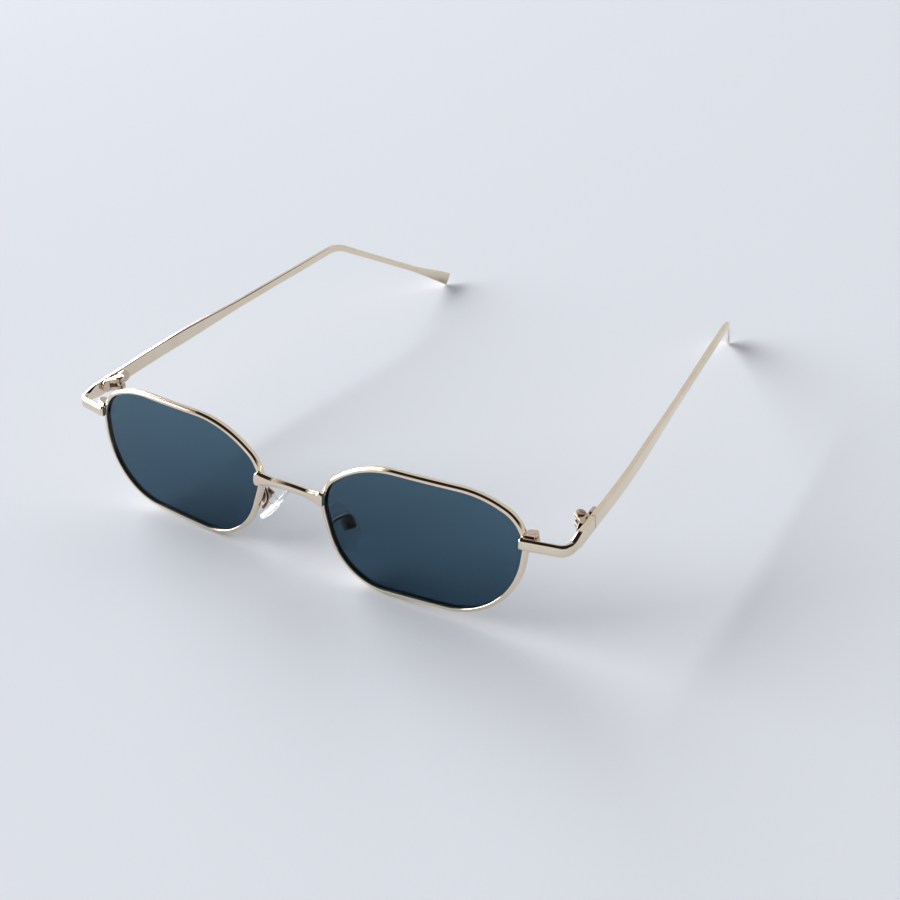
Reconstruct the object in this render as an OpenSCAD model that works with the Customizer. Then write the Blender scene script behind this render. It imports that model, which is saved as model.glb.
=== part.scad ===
// Sunglasses with slim metal eyewires, an arched bridge, screw-on nose pads and folding temples.
// They stand on the lower edge of both rims and on the temple tips, as they are put down on a table.
// Z is up, the lenses face -Y, and the origin is under the middle of the whole outline.

/* [Lenses] */
// Width of the box round one lens opening
lens_w = 49.9; // [44:0.1:56]
// Height of the box round one lens opening
lens_h = 29.5; // [25:0.1:36]
// Thickness of a lens
lens_t = 1.8; // [1.7:0.1:2.2]
// Depth of the lens front behind the front of the eyewire
lens_recess = 0.5; // [0.1:0.05:0.5]
// Radius of the sphere that the lens front follows
lens_curve_r = 350; // [200:10:700]

/* [Lens outline] */
// Rounding of the corner beside the closing joint
outline_outer_r = 7.7; // [5:0.1:9]
// Rounding at the outer end of the top edge
outline_brow_r = 24; // [12:1:30]
// Rounding at the nose end of the top edge
outline_top_r = 26; // [14:1:30]
// Rounding of the corner beside the bridge
outline_nose_r = 8; // [5:0.1:9]
// Rounding of the lower nose corner
outline_cheek_r = 14.7; // [9:0.1:16]
// Rounding of the lower outer corner
outline_lower_r = 18.4; // [12:0.1:20]

/* [Front] */
// Gap between the two lens boxes at the nose
nose_gap = 19.2; // [16:0.1:23]
// Turn of each lens round the face
wrap = 1.1; // [0:0.1:4]
// Lean of the front, with the lens tops towards the temples
tilt = 9.1; // [6:0.1:12]

/* [Rims] */
// Width of the eyewire seen from the front
rim_w = 1.05; // [0.9:0.05:1.5]
// Depth of the eyewire from front to back
rim_d = 2.0; // [1.9:0.1:2.6]
// Rounding of the eyewire's edges
rim_edge_r = 0.45; // [0.1:0.05:0.45]
// Depth of the lens groove inside the eyewire
groove_d = 0.45; // [0.3:0.05:0.55]
// Width of the lens groove at its mouth
groove_w = 0.9; // [0.6:0.05:1]

/* [Closing joints] */
// Turn of the split in the eyewire above the level of its corner's centre
lock_turn = 13; // [6:1:24]
// Gap between the two ends of the eyewire
lock_gap = 0.2; // [0.1:0.05:0.3]
// Reach of a closing block out from the eyewire
lock_w = 2.5; // [2.2:0.1:3]
// Height of one closing block
lock_h = 1.8; // [1.5:0.1:2.4]
// Depth of a closing block behind the end piece
lock_d = 2.2; // [2:0.1:2.6]
// Radius of the closing screw
lock_screw_r = 0.5; // [0.4:0.05:0.6]
// Radius of the closing screw's head
lock_head_r = 0.78; // [0.65:0.01:0.85]

/* [Bridge] */
// Height of the bridge at its middle
bridge_h_mid = 2.1; // [1.6:0.1:3]
// Height of the flattened ends that lap over the rims
bridge_h_end = 3.5; // [2.6:0.1:4.2]
// Thickness of the bridge in front of the rims
bridge_t = 1.15; // [0.9:0.05:1.6]
// Thickness added behind the bridge between the rims
bridge_back = 0.75; // [0.3:0.05:1.1]
// Rise of the bridge from its ends to its middle
bridge_rise = 0.6; // [0.2:0.1:1.6]
// Height of the bridge's middle above the lens centres
bridge_z = 3.6; // [3:0.1:5]
// Reach of the bridge's ends past the rims' inner edges
bridge_lap = 0.3; // [0:0.05:0.5]

/* [End pieces] */
// Height of the end piece where it laps over the rim
end_h = 2.7; // [2.4:0.1:3.2]
// Thickness of the end piece
end_t = 1.6; // [1.3:0.1:1.9]
// Length of the end piece's bar in front of the rim and outwards
end_bar_len = 8.2; // [6.5:0.1:10]
// Backward sweep of that bar
end_sweep = 13; // [6:1:18]
// Radius of the corner along the middle of the bar
end_corner_r = 2.6; // [2:0.1:3.5]
// Length of the arm from the corner back to the hinge
end_arm_len = 9.2; // [7.5:0.1:12]
// Outward turn of the arm just behind the corner
end_splay = 5; // [0:0.5:10]
// Height of the end piece above the lens centres
end_z = 7.5; // [7:0.1:8.2]
// Reach of the end piece past the rim's inner edge
end_lap = 0.15; // [0:0.05:0.6]

/* [Hinges] */
// Distance of the hinge axis from the inner face of the temple
hinge_off = 2.1; // [1.8:0.1:2.4]
// Radius of the hinge knuckles
knuckle_r = 1.25; // [1.15:0.05:1.4]
// Height of each of the three knuckles
knuckle_h = 1.0; // [0.9:0.05:1.05]
// Gap between two knuckles
knuckle_gap = 0.05; // [0.03:0.01:0.08]
// Radius of the hinge screw
hinge_screw_r = 0.55; // [0.45:0.05:0.65]
// Radius of the hinge screw's head
hinge_head_r = 1.0; // [0.85:0.05:1.1]
// Length of each hinge leaf along the inner face
leaf_len = 4.6; // [4:0.1:6]
// Thickness of a hinge leaf
leaf_t = 0.9; // [0.7:0.05:1.1]
// Gap between the end piece and the temple
butt_gap = 0.15; // [0.1:0.05:0.25]

/* [Temples] */
// Height of the temple at the hinge
temple_h_front = 3.6; // [3.3:0.1:4.4]
// Height of the temple along its slim part
temple_h_back = 2.2; // [1.8:0.1:2.8]
// Thickness of the temple
temple_t = 1.2; // [1:0.05:1.6]
// Length of the tall front part
temple_wide_len = 24; // [12:1:34]
// Length over which the temple gets slimmer
temple_taper_len = 28; // [16:1:36]
// Length from the hinge to the start of the ear bend
temple_len = 87.5; // [78:0.5:100]
// Turn of the temples towards each other along their slim part
temple_in = 4.2; // [1:0.1:6]
// The same turn at the hinges, so that the temples bow outwards a little
hinge_in = 0.5; // [-2:0.1:3]
// Upward slope of the temples on the table
temple_rise = 2.4; // [0:0.1:3]

/* [Ear ends] */
// Radius of the ear bend
bend_r = 14; // [8:0.5:22]
// Downward angle of the ear end
bend_drop = 30; // [25:1:40]
// Turn of the ear end towards the other side
bend_in = 18; // [8:1:24]
// Height of the ear end just before its flare
ear_h = 1.9; // [1.5:0.1:2.4]
// Height of the flared tip
tip_h = 4.3; // [3:0.1:5]
// Thickness of the tip
tip_t = 1.5; // [1.25:0.05:2]
// Length of the flare at the tip
tip_flare_len = 19; // [10:1:26]

/* [Nose pads] */
// Length of a pad
pad_len = 12.5; // [11:0.5:15]
// Width of a pad
pad_w = 7; // [6:0.1:8]
// Thickness of a pad at its middle
pad_t = 1.7; // [1.3:0.1:2.1]
// Distance of the pad screws from the middle of the nose
pad_x = 12.3; // [11.8:0.1:15]
// Distance of the pad screws behind the lens plane
pad_y = 6.9; // [6:0.1:8.5]
// Depth of the pad screws below the lens centres
pad_drop = 4.8; // [4:0.1:6.5]
// Turn of the pad's face towards the back
pad_splay = 24; // [18:1:40]
// Lean of the pad's top towards the nose
pad_lean = 42.5; // [30:0.5:45]
// Tip of the pad's top forwards
pad_rake = 4; // [0:1:15]
// Radius of the pad arm's wire
arm_r = 0.42; // [0.35:0.01:0.5]
// Radius of the pad screw
pad_screw_r = 0.38; // [0.3:0.02:0.44]

/* [Hidden] */
// Sides of the corner shares below: outer, brow, top, nose, cheek and lower corner
corner_shares = [[1.019, 0.713], [0.602, 1.011], [-0.58, 0.943],
                 [-1.053, 0.34], [-0.793, -1.058], [0.935, -0.834]];
corner_radii = [outline_outer_r, outline_brow_r, outline_top_r,
                outline_nose_r, outline_cheek_r, outline_lower_r];
corners = [for (s = corner_shares) [s.x * lens_w / 2, s.y * lens_h / 2]];
corner_n = len(corners);
// Turn in degrees between two stations of the outline, and the longest straight step
outline_step = 6;
outline_span = 6;
// Clearances: soldered faces, a screw in its bore, a lens in its groove
seat = 0.01;
bore_clear = 0.05;
groove_clear = 0.08;
// Extra length that lets a cutting shape pass through a face
over = 0.5;
$fn = 48;

// Small helpers
function unit(v) = v / norm(v);
function ease(t) = let (c = min(1, max(0, t))) c * c * (3 - 2 * c);
function mix(a, b, t) = a + (b - a) * t;
function wrapped(i) = (i + corner_n) % corner_n;

// Lens outline: straight sides joined by arcs, run anticlockwise seen from the front
function side(i) = corners[wrapped(i + 1)] - corners[wrapped(i)];
function side_angle(i) = atan2(side(i).y, side(i).x);
function turn(i) = (side_angle(i) - side_angle(i - 1) + 720) % 360;
function tangent_len(i) = corner_radii[wrapped(i)] * tan(turn(i) / 2);
// A rounding that is too large for its sides is made smaller, so that the outline stays smooth
function fit(i) = min(1, norm(side(i - 1)) / (tangent_len(i - 1) + tangent_len(i)),
                      norm(side(i)) / (tangent_len(i) + tangent_len(i + 1)));
function arc_r(i) = corner_radii[wrapped(i)] * fit(i);
function arc_from(i) = side_angle(i - 1) - 90;
function arc_start(i) = corners[wrapped(i)] - unit(side(i - 1)) * arc_r(i) * tan(turn(i) / 2);
function arc_centre(i) = arc_start(i) - arc_r(i) * [cos(arc_from(i)), sin(arc_from(i))];
function arc_point(i, a) = arc_centre(i) + arc_r(i) * [cos(a), sin(a)];

// A station is a point on the opening's edge and the angle of its outward normal
function arc_stations(i, from, to) =
    let (n = max(1, ceil((to - from) / outline_step)))
    [for (k = [0:n]) let (a = from + (to - from) * k / n) [arc_point(i, a), a]];
function side_stations(i) =
    let (a = arc_from(i + 1),
         p = arc_point(i, a),
         q = arc_start(i + 1),
         n = ceil(norm(q - p) / outline_span))
    n < 2 ? [] : [for (k = [1:n - 1]) [mix(p, q, k / n), a]];
function corner_stations(i) = arc_stations(i, arc_from(i), arc_from(i) + turn(i));

lens_stations = [for (i = [0:corner_n - 1]) each concat(corner_stations(i), side_stations(i))];

// Closing joint: where the eyewire is split, on the arc of the first corner
lock_margin = 8;
lock_angle = min(arc_from(0) + turn(0) - lock_margin, max(arc_from(0) + lock_margin, lock_turn));
lock_half_turn = asin(lock_gap / 2 / (arc_r(0) + rim_w));
lock_point = arc_point(0, lock_angle);
rim_stations = concat(
    arc_stations(0, lock_angle + lock_half_turn, arc_from(0) + turn(0)),
    side_stations(0),
    [for (i = [1:corner_n - 1]) each concat(corner_stations(i), side_stations(i))],
    arc_stations(0, arc_from(0), lock_angle - lock_half_turn));

// Positions in the front's own frame: X across, Y back from the lens plane, Z up the lens
lens_x = nose_gap / 2 + lens_w / 2;
function sag(p) = lens_curve_r - sqrt(lens_curve_r * lens_curve_r - p * p);
function to_front(p) = [lens_x + p.x * cos(wrap) - p.y * sin(wrap),
                        p.x * sin(wrap) + p.y * cos(wrap), p.z];
function edge_point(s, out, deep) =
    let (p = s[0] + out * [cos(s[1]), sin(s[1])])
    to_front([p.x, deep + sag(s[0]), p.y]);

// From the front's frame to the table's, before the lift and the shift
function lean(p) = [p.x, p.y * cos(tilt) + p.z * sin(tilt), p.z * cos(tilt) - p.y * sin(tilt)];

// Section of the eyewire: how far out from the opening, and how far back from the front face
function rim_corner(out, deep, sx, sy) =
    [for (a = [0, 45, 90]) [out + sx * rim_edge_r * (1 - (sx * sy < 0 ? sin(a) : cos(a))),
                            deep + sy * rim_edge_r * (1 - (sx * sy < 0 ? cos(a) : sin(a)))]];
rim_inner_cut = 0.12;
rim_section = concat(
    [[0, rim_d / 2 - groove_w / 2], [0, rim_inner_cut], [rim_inner_cut, 0]],
    rim_corner(rim_w, 0, -1, 1),
    rim_corner(rim_w, rim_d, -1, -1),
    [[rim_inner_cut, rim_d], [0, rim_d - rim_inner_cut], [0, rim_d / 2 + groove_w / 2],
     [groove_d, rim_d / 2]]);
rim_rings = [for (s = rim_stations) [for (q = rim_section) edge_point(s, q[0], q[1])]];
rim_leaned = [for (ring = rim_rings) for (p = ring) lean(p)];
lift = -min([for (p = rim_leaned) p.z]);

// Lens: bevelled edge in the groove, and two spherical faces
lens_edge_in = 0.04;
bevel_half = groove_w / 2 - groove_clear;
lens_edge = [[-lens_edge_in, lens_recess], [-lens_edge_in, rim_d / 2 - bevel_half],
             [groove_d - groove_clear, rim_d / 2], [-lens_edge_in, rim_d / 2 + bevel_half],
             [-lens_edge_in, lens_recess + lens_t]];
lens_inner_shares = [1 / 3, 2 / 3];
function lens_ring(share, deep) =
    [for (s = lens_stations)
     let (p = (s[0] - lens_edge_in * [cos(s[1]), sin(s[1])]) * share)
     to_front([p.x, deep + sag(p), p.y])];
lens_rings = concat(
    [for (share = lens_inner_shares) lens_ring(share, lens_recess)],
    [for (q = lens_edge) [for (s = lens_stations) edge_point(s, q[0], q[1])]],
    [for (k = [len(lens_inner_shares) - 1:-1:0]) lens_ring(lens_inner_shares[k], lens_recess + lens_t)]);

// Rounded bar section: half width, half height and edge rounding, as [across, up]
function bar_section(w, h, r) =
    [for (c = [[1, 1, 0], [-1, 1, 90], [-1, -1, 180], [1, -1, 270]]) for (a = [0, 45, 90])
     [c[0] * (w - r) + r * cos(a + c[2]), c[1] * (h - r) + r * sin(a + c[2])]];

// Bridge
nose_edge = edge_point([arc_point(3, 180), 180], 0, 0);
bridge_x = nose_gap / 2 + bridge_lap;
bridge_rim_gap = 0.3;
bridge_inner_x = nose_gap / 2 - rim_w - bridge_rim_gap;
bridge_steps = 11;
bridge_edge_r = 0.6;
bridge_edge_share = 0.45;
// Rounding of the corners of the flattened ends
bridge_tab_r = 0.8;
// Share of each half of the bridge over which it flares
bridge_flare = 0.55;
function bridge_ring(x) =
    let (t = x / bridge_x,
         h = mix(bridge_h_mid, bridge_h_end, ease(1 - (1 - abs(t)) / bridge_flare)),
         tab = max(0, bridge_tab_r - bridge_x + abs(x)),
         cut = bridge_tab_r - sqrt(max(0, bridge_tab_r * bridge_tab_r - tab * tab)),
         behind = abs(x) < bridge_inner_x + over / 4 ? bridge_back : -seat,
         front = nose_edge.y - bridge_t,
         back = nose_edge.y + behind,
         z = bridge_z - bridge_rise * t * t)
    [for (q = bar_section((back - front) / 2, h / 2 - cut,
                          min(bridge_edge_r, bridge_edge_share * (back - front))))
     [x, (front + back) / 2 + q[0], z + q[1]]];
bridge_tab_turns = [0, 25, 50, 70, 90];
bridge_half = concat([for (k = [0:bridge_steps]) bridge_inner_x * k / bridge_steps],
                     [mix(bridge_inner_x, bridge_x - bridge_tab_r, 0.5)],
                     [for (a = bridge_tab_turns) bridge_x - bridge_tab_r * (1 - sin(a))]);
bridge_stations = concat([for (k = [len(bridge_half) - 1:-1:1]) bridge_half[k]], [for (x = bridge_half) -x]);

// End piece: a bar across the rim's front that turns back into an arm, in the table's frame
lock_edge = edge_point([lock_point, lock_angle], 0, 0);
end_start = lean([lock_edge.x - end_lap, lock_edge.y - 2 * seat - end_t / 2, end_z]);
end_flat_dir = lean([cos(wrap), sin(wrap), 0]);
end_dir = lean([cos(end_sweep), sin(end_sweep), 0]);
// The bar lies flat on the rim first, and sweeps back from the rim's outer edge
end_flat_len = end_lap + rim_w;
end_bend = end_start + end_flat_len * end_flat_dir;
end_up = lean([0, 0, 1]);
function heading(yaw, pitch) = [-sin(yaw) * cos(pitch), cos(yaw) * cos(pitch), sin(pitch)];
hinge_dir = heading(hinge_in, temple_rise);
arm_dir = heading(-end_splay, temple_rise);
end_turn = acos(end_dir * arm_dir);
end_turn_steps = 10;
// Direction part way round the corner, from the bar's to the arm's
function end_dir_at(t) = (sin((1 - t) * end_turn) * end_dir + sin(t * end_turn) * arm_dir) / sin(end_turn);
end_corner_step = 2 * end_corner_r * sin(end_turn / end_turn_steps / 2);
end_corner_start = end_bend + (end_bar_len - end_flat_len) * end_dir;
function end_corner_at(k) =
    k == 0 ? end_corner_start
           : end_corner_at(k - 1) + end_corner_step * end_dir_at((k - 0.5) / end_turn_steps);
end_arm_steps = 10;
// The arm is straight again along the hinge leaf, and has the temple's size there
end_change_share = 0.4;
function arm_dir_at(t) = heading(mix(-end_splay, hinge_in, min(1, t / end_change_share)), temple_rise);
function arm_at(k) =
    k == 0 ? end_corner_at(end_turn_steps)
           : arm_at(k - 1) + end_arm_len / end_arm_steps * arm_dir_at((k - 0.5) / end_arm_steps);
arm_end = arm_at(end_arm_steps);
// Points of the end piece, each with its direction and its share of the change in size
end_path = concat(
    [[end_start, end_flat_dir, 0, 0], [end_bend, unit(end_flat_dir + end_dir), 0, 0],
     [(end_bend + end_corner_start) / 2, end_dir, 0, 0], [end_corner_start, end_dir, 0, 0]],
    [for (k = [1:end_turn_steps])
     let (t = k / end_turn_steps) [end_corner_at(k), end_dir_at(t), ease(t), 0]],
    [for (k = [1:end_arm_steps])
     let (t = k / end_arm_steps) [arm_at(k), arm_dir_at(t), 1, ease(t / end_change_share)]]);
end_edge_r = 0.55;
function end_ring(s) =
    let (dir = s[1],
         across = unit(cross(dir, mix(end_up, [0, 0, 1], s[2]))),
         up = cross(across, dir),
         h = mix(end_h, temple_h_front, s[3]),
         w = mix(end_t, temple_t, s[3]))
    [for (q = bar_section(w / 2, h / 2, mix(end_edge_r, temple_edge_r, s[3])))
     s[0] + q[0] * across + q[1] * up];

// Temple: straight and sloping, then the ear bend, then a flared tip that rests on the table
temple_edge_r = 0.3;
bend_len = bend_r * (temple_rise + bend_drop) * PI / 180;
bend_steps = 8;
// Shares of the tall front part at which the bow has a station
bow_shares = [0.35, 0.7];
// Length over which the temple turns inwards behind the hinge leaf
bow_len = 26;
temple_start = arm_end + butt_gap * hinge_dir;
bend_fall = bend_r * (cos(temple_rise) - cos(bend_drop));
bend_end_z = temple_start.z + lift + temple_len * sin(temple_rise) - bend_fall;
tip_rest_z = tip_h / 2 * cos(bend_drop);
ear_len = (bend_end_z - tip_rest_z) / sin(bend_drop);
temple_total = temple_len + bend_len + ear_len;
temple_at = concat(
    [0, leaf_len, for (share = bow_shares) mix(leaf_len, temple_wide_len, share)],
    [for (k = [0:6]) temple_wide_len + temple_taper_len * k / 6],
    [(temple_wide_len + temple_taper_len + temple_len) / 2],
    [for (k = [0:bend_steps]) temple_len + bend_len * k / bend_steps],
    [temple_total - tip_flare_len - (ear_len - tip_flare_len) / 2],
    [for (k = [0:7]) temple_total - tip_flare_len * (1 - k / 7)]);
function bend_share(s) = min(1, max(0, (s - temple_len) / bend_len));
function temple_heading(s) =
    let (bow = mix(hinge_in, temple_in, ease((s - leaf_len) / bow_len)))
    heading(mix(bow, bend_in, ease(bend_share(s))), mix(temple_rise, -bend_drop, bend_share(s)));
temple_points = [for (i = 0, p = temple_start; i < len(temple_at); i = i + 1,
                      p = i < len(temple_at)
                          ? p + (temple_at[i] - temple_at[i - 1])
                                * unit(temple_heading((temple_at[i] + temple_at[i - 1]) / 2))
                          : p) p];
// The slimming to the ear's height takes this many bend lengths; the flare is cut off before it levels out
ear_slim_bends = 3;
flare_share = 0.86;
function temple_h_at(s) =
    let (slim = mix(temple_h_front, temple_h_back, ease((s - temple_wide_len) / temple_taper_len)),
         ear = mix(slim, ear_h, ease((s - temple_len + bend_len) / bend_len / ear_slim_bends)),
         flare = (s - temple_total + tip_flare_len) / tip_flare_len)
    mix(ear, tip_h, ease(max(0, flare) * flare_share) / ease(flare_share));
function temple_t_at(s) = mix(temple_t, tip_t, ease((s - temple_total + tip_flare_len) / tip_flare_len));
function temple_ring(i) =
    let (s = temple_at[i],
         dir = temple_heading(s),
         across = unit(cross(dir, [0, 0, 1])),
         up = cross(across, dir))
    [for (q = bar_section(temple_t_at(s) / 2, temple_h_at(s) / 2, temple_edge_r))
     temple_points[i] + q[0] * across + q[1] * up];
temple_rings = [for (i = [0:len(temple_at) - 1]) temple_ring(i)];

// The whole outline's middle from front to back is at Y = 0
front_y = min([for (p = rim_leaned) p.y]);
back_y = max([for (p = temple_rings[len(temple_at) - 1]) p.y]);
shift_y = -(front_y + back_y) / 2;

// Hinge sizes
barrel_h = 3 * knuckle_h + 2 * knuckle_gap;
hinge_head_t = 0.35;
knuckle_clear = 0.1;
leaf_start = knuckle_r + knuckle_clear;
leaf_reach = hinge_off - leaf_t;
web_len = 2.5;
web_step = 1.1;
web_angle = 45;
slot_w = 0.22;
slot_d = 0.16;

// Closing joint sizes
lock_axis_x = rim_w + lock_w - lock_d / 2;
lock_front = 0.35;
lock_axis_y = lock_front + lock_d / 2;
lock_head_t = 0.4;
lock_bore_share = 0.8;
lock_screw_share = 0.7;
lock_cut = 20;
fine_sides = 96;

// Nose pad sizes
pad_play = 0.1;
post_half_w = 0.6;
post_half_h = 1.1;
post_back = 0.45;
pad_plate_x = 2.1;
box_wall = 0.5;
box_half_w = post_half_w + pad_play + box_wall;
box_half_h = 1.4;
box_front = 0.9;
box_room = 0.35;
box_back = post_back + box_room;
box_back_wall = 0.4;
pad_head_r = 0.66;
pad_head_t = 0.3;
arm_sides = 10;
arm_steps = 18;
pad_crown_share = 0.55;
pad_root_share = 1 / 3;
pad_tip_share = 0.33;
crown_sides = 180;

// Solid through rings of points, each ring in the same order
module loft(rings) {
    n = len(rings);
    m = len(rings[0]);
    points = [for (ring = rings) each ring];
    walls = [for (i = [0:n - 2]) for (j = [0:m - 1])
             let (a = i * m + j, b = i * m + (j + 1) % m) each [[a, b, b + m], [a, b + m, a + m]]];
    caps = [[for (j = [m - 1:-1:0]) j], [for (j = [0:m - 1]) (n - 1) * m + j]];
    polyhedron(points, concat(walls, caps), convexity = 6);
}

// Solid through closed rings, with a point over the first ring and one under the last
module domed_loft(rings, first, last) {
    n = len(rings);
    m = len(rings[0]);
    points = concat([for (ring = rings) each ring], [first, last]);
    walls = [for (i = [0:n - 2]) for (j = [0:m - 1])
             let (a = i * m + j, b = i * m + (j + 1) % m) each [[a, b, b + m], [a, b + m, a + m]]];
    tops = [for (j = [0:m - 1]) [n * m, (j + 1) % m, j]];
    ends = [for (j = [0:m - 1]) [n * m + 1, (n - 1) * m + j, (n - 1) * m + (j + 1) % m]];
    polyhedron(points, concat(walls, tops, ends), convexity = 6);
}

module on_table() { translate([0, shift_y, lift]) children(); }
module on_front() { on_table() rotate([-tilt, 0, 0]) children(); }
module left_side() { mirror([1, 0, 0]) children(); }

// At the split: X out from the eyewire, Y back, Z along the eyewire
module at_lock() {
    on_front() translate(lock_edge) rotate([0, 0, wrap]) rotate([0, -lock_angle, 0]) children();
}

// At the hinge: Z up the axis, X towards the temple's inner face, Y along the temple
module at_hinge() {
    on_table() translate(arm_end + (butt_gap / 2) * hinge_dir) rotate([0, 0, hinge_in])
        translate([-hinge_off - temple_t / 2, 0, 0]) children();
}

// At the pad screw: X away from the nose, Y along the screw, Z up the pad
module at_pad() {
    on_front() translate(pad_at) rotate(pad_turn) children();
}

module screw_slot(r, top) {
    translate([-r - over, -slot_w / 2, top - slot_d]) cube([2 * (r + over), slot_w, slot_d + over]);
}

module rim() {
    color("#e6c9a8") on_front() loft([for (k = [len(rim_rings) - 1:-1:0]) rim_rings[k]]);
}

module lens() {
    centre = to_front([0, lens_recess, 0]);
    color("#2f4657") on_front() domed_loft(lens_rings, centre, centre + [0, lens_t, 0]);
}

module bridge() {
    color("#ead0b2") on_front() loft([for (x = bridge_stations) bridge_ring(x)]);
}

module end_piece() {
    color("#ead0b2") on_table() loft([for (s = end_path) end_ring(s)]);
}

// Outline of a closing block: flat against the end piece, round at its outer end
module lock_outline(h) {
    translate([rim_w - over, lock_front, 0]) cube([lock_axis_x - rim_w + over, lock_d, h]);
    translate([rim_w - over, -over, 0]) cube([lock_w + over - lock_d / 4, lock_front + lock_d / 2 + over, h]);
    translate([lock_axis_x, lock_axis_y, 0]) cylinder(h = h, r = lock_d / 2);
}

// What the eyewire's curve and the back of the end piece take off a closing block
module lock_cuts() {
    translate([-arc_r(0), -2 * over, 0]) rotate([-90, 0, 0])
        cylinder(h = lock_d + 6 * over, r = arc_r(0) + rim_w + seat, $fn = fine_sides);
    translate([rim_w, -seat, 0]) rotate([0, lock_angle, 0]) rotate([0, 0, end_sweep - wrap])
        translate([-lock_cut / 4, -lock_cut / 2, -lock_cut / 2])
            cube([lock_cut, lock_cut / 2 + 2 * seat, lock_cut]);
}

module upper_lock() {
    color("#d8b68f") at_lock() difference() {
        translate([0, 0, lock_gap / 2]) lock_outline(lock_h);
        lock_cuts();
        translate([lock_axis_x, lock_axis_y, -over])
            cylinder(h = lock_gap / 2 + lock_h * lock_bore_share + over, r = lock_screw_r + bore_clear);
    }
}

module lower_lock() {
    color("#d8b68f") at_lock() difference() {
        translate([0, 0, -lock_gap / 2 - lock_h]) lock_outline(lock_h);
        lock_cuts();
        translate([lock_axis_x, lock_axis_y, -lock_h - lock_gap - over])
            cylinder(h = lock_h + lock_gap + 2 * over, r = lock_screw_r + bore_clear);
        translate([lock_axis_x, lock_axis_y, -lock_h - lock_gap / 2 - over])
            cylinder(h = lock_head_t + over, r = lock_head_r + bore_clear);
    }
}

module lock_screw() {
    bottom = -lock_h - lock_gap / 2;
    color("#b9936b") at_lock() translate([lock_axis_x, lock_axis_y, 0]) difference() {
        union() {
            translate([0, 0, bottom]) cylinder(h = lock_head_t - seat, r = lock_head_r);
            translate([0, 0, bottom])
                cylinder(h = lock_h * (1 + lock_screw_share) + lock_gap, r = lock_screw_r);
        }
        rotate([180, 0, 0]) screw_slot(lock_head_r, -bottom);
    }
}

// One knuckle with its web to the inner face; direction 1 is the temple's side, -1 the front's
module knuckle(low, direction) {
    translate([0, 0, low]) {
        cylinder(h = knuckle_h, r = knuckle_r);
        linear_extrude(knuckle_h) polygon([
            [0, 0],
            [-knuckle_r * cos(web_angle), direction * knuckle_r * sin(web_angle)],
            [hinge_off - web_step, direction * web_len],
            [leaf_reach + leaf_t / 2, direction * web_len],
            [leaf_reach + leaf_t / 2, 0]]);
    }
}

// Plate of a hinge leaf, rounded where it ends
module leaf_plate(direction) {
    far = leaf_len - barrel_h / 2;
    translate([leaf_reach, min(direction * leaf_start, direction * far), -barrel_h / 2])
        cube([leaf_t - seat, far - leaf_start, barrel_h]);
    translate([leaf_reach, direction * far, 0]) rotate([0, 90, 0])
        cylinder(h = leaf_t - seat, r = barrel_h / 2);
}

module hinge_bore() {
    translate([0, 0, -barrel_h / 2 - over]) cylinder(h = barrel_h + 2 * over, r = hinge_screw_r + bore_clear);
}

module front_leaf() {
    color("#d8b68f") at_hinge() difference() {
        union() {
            leaf_plate(-1);
            knuckle(-barrel_h / 2, -1);
            knuckle(barrel_h / 2 - knuckle_h, -1);
        }
        hinge_bore();
    }
}

module temple_leaf() {
    color("#d8b68f") at_hinge() difference() {
        union() {
            leaf_plate(1);
            knuckle(-knuckle_h / 2, 1);
        }
        hinge_bore();
    }
}

module hinge_screw() {
    color("#b9936b") at_hinge() difference() {
        union() {
            translate([0, 0, -barrel_h / 2]) cylinder(h = barrel_h + hinge_head_t / 2, r = hinge_screw_r);
            translate([0, 0, barrel_h / 2 + seat]) cylinder(h = hinge_head_t, r = hinge_head_r);
        }
        screw_slot(hinge_head_r, barrel_h / 2 + seat + hinge_head_t);
    }
}

// Pad arm: a goose-neck wire from the back of the rim to the back of the pad box
pad_at = [pad_x, pad_y, -pad_drop];
pad_turn = [pad_rake, -pad_lean, -pad_splay];
function rot_x(p, a) = [p.x, p.y * cos(a) - p.z * sin(a), p.y * sin(a) + p.z * cos(a)];
function rot_y(p, a) = [p.x * cos(a) + p.z * sin(a), p.y, p.z * cos(a) - p.x * sin(a)];
function rot_z(p, a) = [p.x * cos(a) - p.y * sin(a), p.x * sin(a) + p.y * cos(a), p.z];
function from_pad(p) = pad_at + rot_z(rot_y(rot_x(p, pad_turn.x), pad_turn.y), pad_turn.z);
// Root of the wire on the rim: the angle of the edge there, and its step from the rim's nose side
arm_root_angle = 197;
arm_root_step = [0.885, -7.4];
arm_root = edge_point([arc_point(3, 180) + arm_root_step, arm_root_angle], rim_w / 2, rim_d + seat);
// The wire leaves the box squarely, and these pull its loop up and back
arm_foot_len = 1.8;
arm_pull_low = [-0.8, 1.6, 1.6];
arm_pull_high = [-0.2, 3.4, 2.7];
arm_pull_foot = [0.8, 0.3, 2.5];
arm_foot = from_pad([box_back + box_back_wall + seat, 0, 0]);
arm_foot_out = from_pad([box_back + box_back_wall + arm_foot_len, 0, 0]);
arm_control = [arm_root, arm_root + arm_pull_low, arm_root + arm_pull_high,
               arm_foot_out + arm_pull_foot, arm_foot_out, arm_foot];
function bezier(c, t) =
    len(c) == 1 ? c[0] : bezier([for (i = [0:len(c) - 2]) mix(c[i], c[i + 1], t)], t);
arm_points = [for (k = [0:arm_steps]) bezier(arm_control, k / arm_steps)];
function arm_ring(k) =
    let (dir = k == 0 ? [0, 1, 0]
             : k == arm_steps ? unit(arm_foot - arm_foot_out)
             : unit(arm_points[k + 1] - arm_points[k - 1]),
         across = unit(cross(dir, [0.3, 0, 1])),
         up = cross(across, dir))
    [for (j = [0:arm_sides - 1])
     let (a = 360 * j / arm_sides) arm_points[k] + arm_r * (cos(a) * across + sin(a) * up)];

module pad_arm() {
    color("#ead0b2") on_front() loft([for (k = [0:arm_steps]) arm_ring(k)]);
}

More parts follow.
